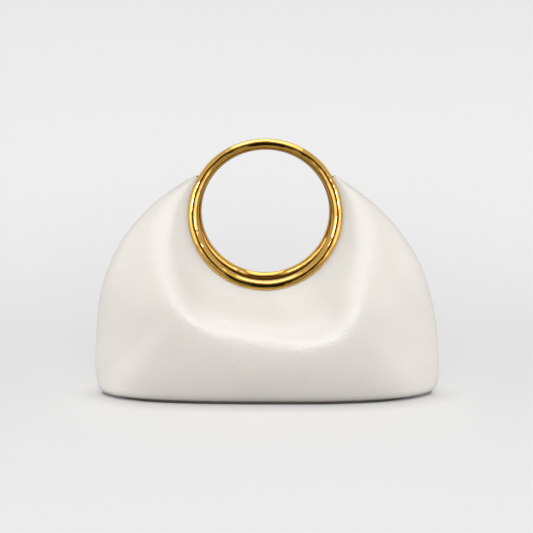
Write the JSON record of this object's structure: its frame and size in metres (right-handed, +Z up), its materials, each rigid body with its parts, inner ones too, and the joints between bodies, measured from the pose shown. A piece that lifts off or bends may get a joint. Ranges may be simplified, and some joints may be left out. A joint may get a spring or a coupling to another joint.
{
  "type": "ring-handle handbag",
  "caption": "Half-moon soft leather handbag gathered onto round metal tube ring handles, open at the top between the rings, standing on a flat lens-shaped base.",
  "frame": {"origin": "middle of the base's underside", "axes": "+Z up, +X to the right seen from the front, the front panel faces -Y"},
  "size_m": [0.2999, 0.117, 0.2212],
  "materials": {
    "leather": "smooth ivory leather with a fine grain and a soft sheen",
    "base_leather": "smooth ivory leather, pressed flat, slightly worn",
    "gold_metal": "polished gold-coloured plating"
  },
  "bodies": {
    "root": {"front_panel": "leather", "back_panel": "leather", "base_panel": "base_leather", "front_ring": "gold_metal", "back_ring": "gold_metal"}
  },
  "joints": []
}
